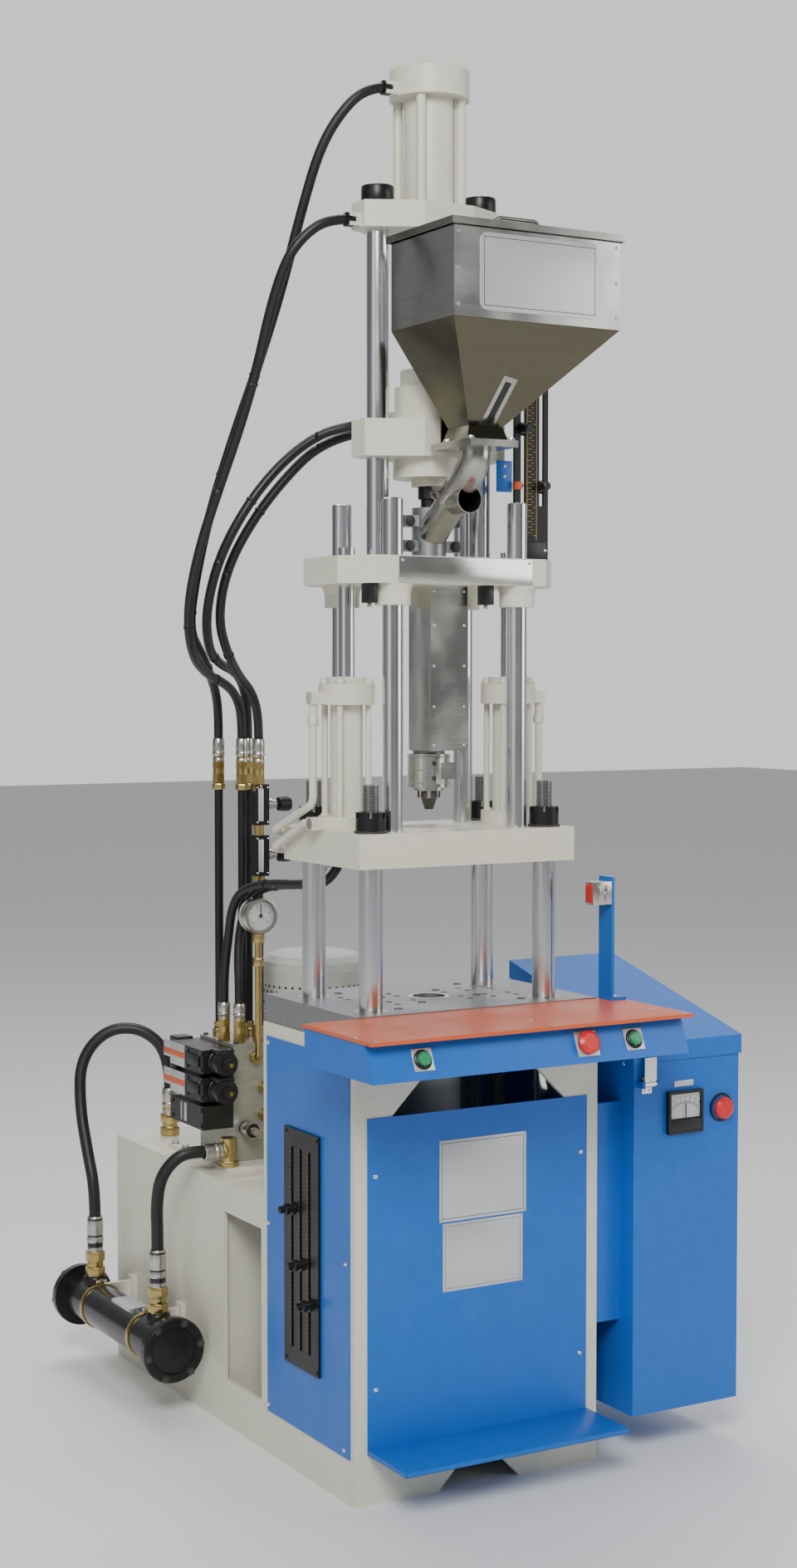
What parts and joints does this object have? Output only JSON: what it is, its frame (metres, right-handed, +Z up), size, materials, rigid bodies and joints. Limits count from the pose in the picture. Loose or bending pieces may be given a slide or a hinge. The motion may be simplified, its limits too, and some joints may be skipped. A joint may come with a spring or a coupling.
{
  "type": "vertical injection moulding machine",
  "caption": "Upright machine that melts plastic pellets from a hopper and injects them down into a mould clamped between a table and a moving platen.",
  "frame": {"origin": "on the floor under the middle of the whole machine", "axes": "+X to the right along the front, +Y to the back, +Z up"},
  "size_m": [0.9348, 1.2994, 2.51],
  "materials": {
    "cream_paint": "satin",
    "blue_paint": "gloss",
    "orange_paint": "satin",
    "grey_steel": "ground",
    "stainless": "brushed",
    "chrome_steel": "polished",
    "black_steel": "satin",
    "black_plastic": "matte",
    "rubber_hose": "matte",
    "brass_fitting": "turned",
    "silver_fitting": "turned",
    "green_plastic": "gloss",
    "red_plastic": "gloss",
    "grey_paint": "satin"
  },
  "bodies": {
    "base": {"press_frame": "cream_paint", "tank_base": "cream_paint", "tank_cover": "cream_paint", "front_panel": "blue_paint", "side_panels": "blue_paint", "table_platen": "grey_steel", "guide_bushes": "brass_fitting", "work_board": "orange_paint", "control_shelf": "blue_paint", "cabinet_body": "blue_paint", "ammeter": "black_plastic", "sensor_post": "blue_paint", "valve_manifold": "grey_steel", "valve_stack": "black_plastic", "steel_pipes": "black_steel", "pipe_fittings": "brass_fitting", "throttle_valves": "black_steel", "pressure_gauge": "silver_fitting", "pump_motor": "cream_paint", "oil_cooler": "grey_paint", "cooler_brackets": "cream_paint", "cooler_hose_front": "rubber_hose", "cooler_hose_rear": "rubber_hose", "clamp_cylinder": "cream_paint", "side_scale": "black_steel", "hose_bundle": "rubber_hose"},
    "clamp": {"moving_platen": "cream_paint", "tie_bars": "chrome_steel", "tie_bar_nuts": "black_steel", "clamp_crosshead": "cream_paint", "guide_columns": "chrome_steel", "carriage_cylinders": "cream_paint"},
    "carriage": {"injection_plate": "cream_paint", "carriage_rods": "chrome_steel", "feed_block": "grey_steel", "barrel": "grey_steel", "barrel_cover": "stainless", "nozzle": "stainless", "injection_columns": "chrome_steel", "top_plate": "cream_paint", "injection_cylinder": "cream_paint", "hopper": "stainless", "hopper_lid": "stainless", "feed_chute": "stainless", "travel_scale": "black_steel"},
    "injection": {"motor_plate": "cream_paint", "hydraulic_motor": "cream_paint", "injection_rod": "chrome_steel"},
    "screw": {"feed_screw": "black_steel"},
    "gate": {"chute_gate": "stainless"},
    "start_left": {"start_button_left": "green_plastic"},
    "start_right": {"start_button_right": "green_plastic"},
    "shelf_stop": {"shelf_stop_button": "red_plastic"},
    "cabinet_stop": {"cabinet_stop_button": "red_plastic"},
    "lid": {"cabinet_lid": "blue_paint"},
    "latch": {"latch_lever": "chrome_steel"},
    "meter": {"meter_needle": "black_plastic"},
    "gauge": {"gauge_needle": "black_plastic"},
    "knob_upper": {"throttle_knob_upper": "black_plastic"},
    "knob_lower": {"throttle_knob_lower": "black_plastic"}
  },
  "joints": [
    {"name": "clamp_slide", "type": "slide", "parent": "base", "child": "clamp", "axis": [0, 0, 1], "range_m": [-0.2, 0], "deforming": ["hose_bundle"]},
    {"name": "carriage_slide", "type": "slide", "parent": "clamp", "child": "carriage", "axis": [0, 0, 1], "range_m": [-0.09, 0]},
    {"name": "injection_slide", "type": "slide", "parent": "carriage", "child": "injection", "axis": [0, 0, 1], "range_m": [0, 0.12]},
    {"name": "screw_spin", "type": "hinge", "parent": "injection", "child": "screw", "pos_m": [-0.083, -0.24, 1.74], "axis": [0, 0, 1], "continuous": true},
    {"name": "gate_slide", "type": "slide", "parent": "carriage", "child": "gate", "axis": [-1, 0, 0], "range_m": [0, 0.03]},
    {"name": "start_left_press", "type": "slide", "parent": "base", "child": "start_left", "axis": [0, 0.9144, -0.4047], "range_m": [0, 0.005], "stiffness_N_per_m": 500, "springref_m": -0.001},
    {"name": "start_right_press", "type": "slide", "parent": "base", "child": "start_right", "axis": [0, 0.9144, -0.4047], "range_m": [0, 0.005], "stiffness_N_per_m": 500, "springref_m": -0.001},
    {"name": "shelf_stop_press", "type": "slide", "parent": "base", "child": "shelf_stop", "axis": [0, 0.9144, -0.4047], "range_m": [0, 0.005], "stiffness_N_per_m": 500, "springref_m": -0.001},
    {"name": "cabinet_stop_press", "type": "slide", "parent": "base", "child": "cabinet_stop", "axis": [0, 1, 0], "range_m": [0, 0.005], "stiffness_N_per_m": 500, "springref_m": -0.001},
    {"name": "lid_hinge", "type": "hinge", "parent": "base", "child": "lid", "pos_m": [0.344, -0.0319, 0.828], "axis": [-1, 0, 0], "range_deg": [0, 75]},
    {"name": "latch_hinge", "type": "hinge", "parent": "base", "child": "latch", "pos_m": [0.253, -0.456, 0.686], "axis": [1, 0, 0], "range_deg": [0, 90]},
    {"name": "meter_swing", "type": "hinge", "parent": "base", "child": "meter", "pos_m": [0.336, -0.454, 0.605], "axis": [0, -1, 0], "range_deg": [-45, 45]},
    {"name": "gauge_swing", "type": "hinge", "parent": "base", "child": "gauge", "pos_m": [-0.21, 0.184, 0.957], "axis": [0, -1, 0], "range_deg": [-130, 130]},
    {"name": "knob_upper_turn", "type": "hinge", "parent": "base", "child": "knob_upper", "pos_m": [-0.13, 0.24, 1.17], "axis": [1, 0, 0], "range_deg": [-170, 170]},
    {"name": "knob_lower_turn", "type": "hinge", "parent": "base", "child": "knob_lower", "pos_m": [-0.13, 0.24, 1.07], "axis": [1, 0, 0], "range_deg": [-170, 170]}
  ]
}
